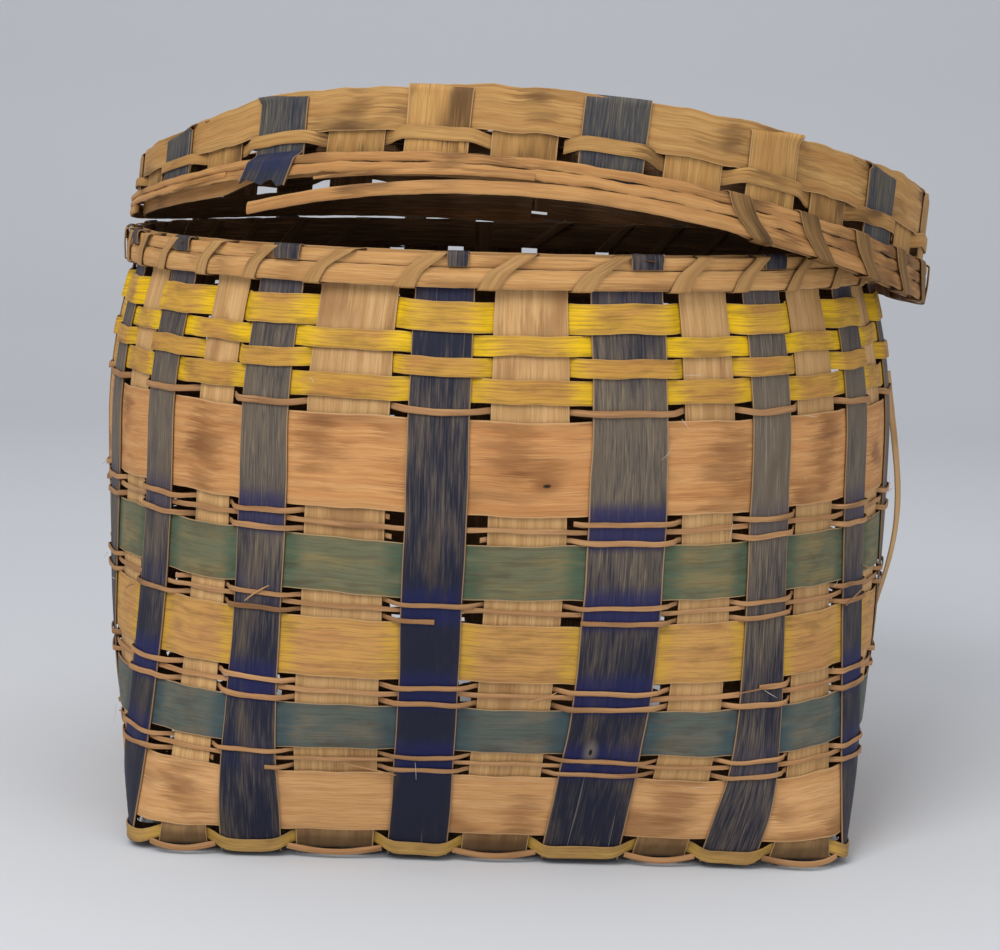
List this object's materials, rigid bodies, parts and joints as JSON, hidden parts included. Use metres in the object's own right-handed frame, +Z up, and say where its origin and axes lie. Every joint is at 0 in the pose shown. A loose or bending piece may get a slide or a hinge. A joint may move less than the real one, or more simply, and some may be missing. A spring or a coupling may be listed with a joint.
{
  "type": "lidded basket",
  "caption": "Round wood-splint basket with a square base, dyed plain-woven splints, a lashed rim and a loose woven lid that lies askew and lifts off.",
  "frame": {"origin": "on the ground under the middle of the whole, with the lid lying askew", "axes": "+Z up, -Y towards the front that the picture shows, +X to the right of the front; the basket's own axis stands 10 mm left of the origin and 3 mm in front of it"},
  "size_m": [0.4223, 0.4151, 0.36],
  "materials": {
    "natural splint": "worn matte",
    "blue splint": "worn matte",
    "yellow splint": "worn matte",
    "wide natural splint": "worn matte",
    "thin splint": "worn matte",
    "teal splint": "worn matte",
    "gold splint": "worn matte",
    "green splint": "worn matte",
    "rim wood": "worn matte",
    "lashing splint": "worn matte",
    "lid natural splint": "worn matte",
    "lid blue splint": "worn matte"
  },
  "bodies": {
    "basket": {"front_splint_1": "natural splint", "front_splint_2": "blue splint", "front_splint_3": "natural splint", "front_splint_4": "blue splint", "front_splint_5": "natural splint", "front_splint_6": "blue splint", "front_splint_7": "natural splint", "front_splint_8": "blue splint", "front_splint_9": "natural splint", "side_splint_1": "blue splint", "side_splint_2": "natural splint", "side_splint_3": "blue splint", "side_splint_4": "natural splint", "side_splint_5": "blue splint", "side_splint_6": "natural splint", "side_splint_7": "blue splint", "side_splint_8": "natural splint", "side_splint_9": "blue splint", "foot_yellow_weaver": "yellow splint", "lower_wide_weaver": "wide natural splint", "upper_wide_weaver": "wide natural splint", "thin_weavers_4": "thin splint", "thin_weavers_3": "thin splint", "thin_weavers_2": "thin splint", "thin_weavers_1": "thin splint", "thin_top_weaver": "thin splint", "teal_weaver": "teal splint", "gold_weaver": "gold splint", "green_weaver": "green splint", "yellow_weaver_1": "yellow splint", "yellow_weaver_2": "yellow splint", "yellow_weaver_3": "yellow splint", "yellow_weaver_4": "yellow splint", "rim_outer_hoop": "rim wood", "rim_inner_hoop": "rim wood", "rim_lashing": "lashing splint", "loose_side_splint": "natural splint"},
    "lid": {"lid_front_splint_1": "lid natural splint", "lid_front_splint_2": "lid blue splint", "lid_front_splint_3": "lid natural splint", "lid_front_splint_4": "lid natural splint", "lid_front_splint_5": "lid natural splint", "lid_front_splint_6": "lid blue splint", "lid_front_splint_7": "lid natural splint", "lid_front_splint_8": "lid natural splint", "lid_front_splint_9": "lid natural splint", "lid_side_splint_1": "lid blue splint", "lid_side_splint_2": "lid natural splint", "lid_side_splint_3": "lid natural splint", "lid_side_splint_4": "lid natural splint", "lid_side_splint_5": "lid natural splint", "lid_side_splint_6": "lid natural splint", "lid_side_splint_7": "lid natural splint", "lid_narrow_weaver": "lid natural splint", "lid_wide_weaver": "lid natural splint", "lid_outer_hoop": "rim wood", "lid_inner_hoop": "rim wood", "lid_split_strip": "rim wood", "lid_lashing": "lashing splint"}
  },
  "joints": [
    {"name": "lid_lift", "type": "slide", "parent": "basket", "child": "lid", "axis": [0, 0, 1], "range_m": [0, 0.25]}
  ]
}
